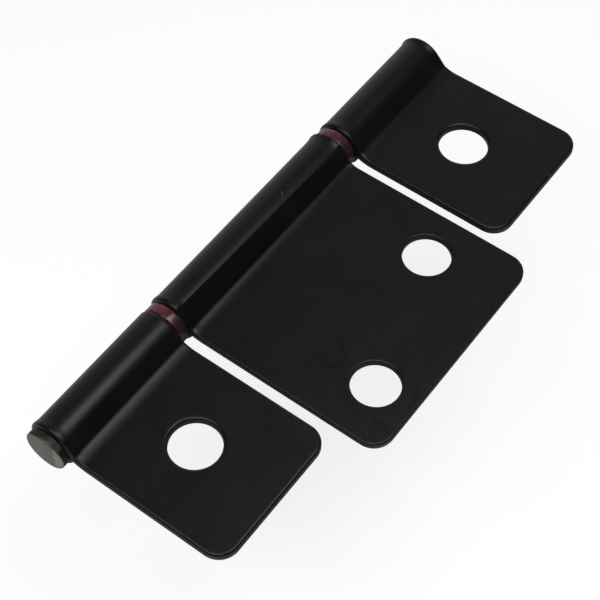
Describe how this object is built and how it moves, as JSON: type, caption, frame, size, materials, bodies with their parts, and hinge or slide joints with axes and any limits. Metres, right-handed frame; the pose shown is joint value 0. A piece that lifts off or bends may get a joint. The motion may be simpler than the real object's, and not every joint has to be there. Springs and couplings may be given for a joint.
{
  "type": "non-mortise hinge",
  "caption": "Non-mortise hinge in black coated sheet steel: rolled-knuckle leaves on one headed pin, a wide middle leaf turning between narrower outer leaves, with washers between the knuckles.",
  "frame": {"origin": "midway between the outer leaves' screw holes, on the back face of the outer leaves that meets the frame", "axes": "+Y along the pin, away from its head; +X from the pin to the leaves' free edges; +Z out of the leaves' front"},
  "size_m": [0.0342, 0.0773, 0.0063],
  "materials": {
    "black_coat": "satin black coating on sheet steel",
    "bare_steel": "dull bare steel, slightly tarnished",
    "red_nylon": "dark red nylon"
  },
  "bodies": {
    "frame_leaves": {"lower_leaf": "black_coat", "upper_leaf": "black_coat", "hinge_pin": "bare_steel", "lower_washer": "red_nylon", "upper_washer": "red_nylon"},
    "door_leaf": {"middle_leaf": "black_coat"}
  },
  "joints": [
    {"name": "leaf_swing", "type": "hinge", "parent": "frame_leaves", "child": "door_leaf", "pos_m": [-0.0133, 0, 0.00085], "axis": [0, 1, 0], "continuous": true}
  ]
}
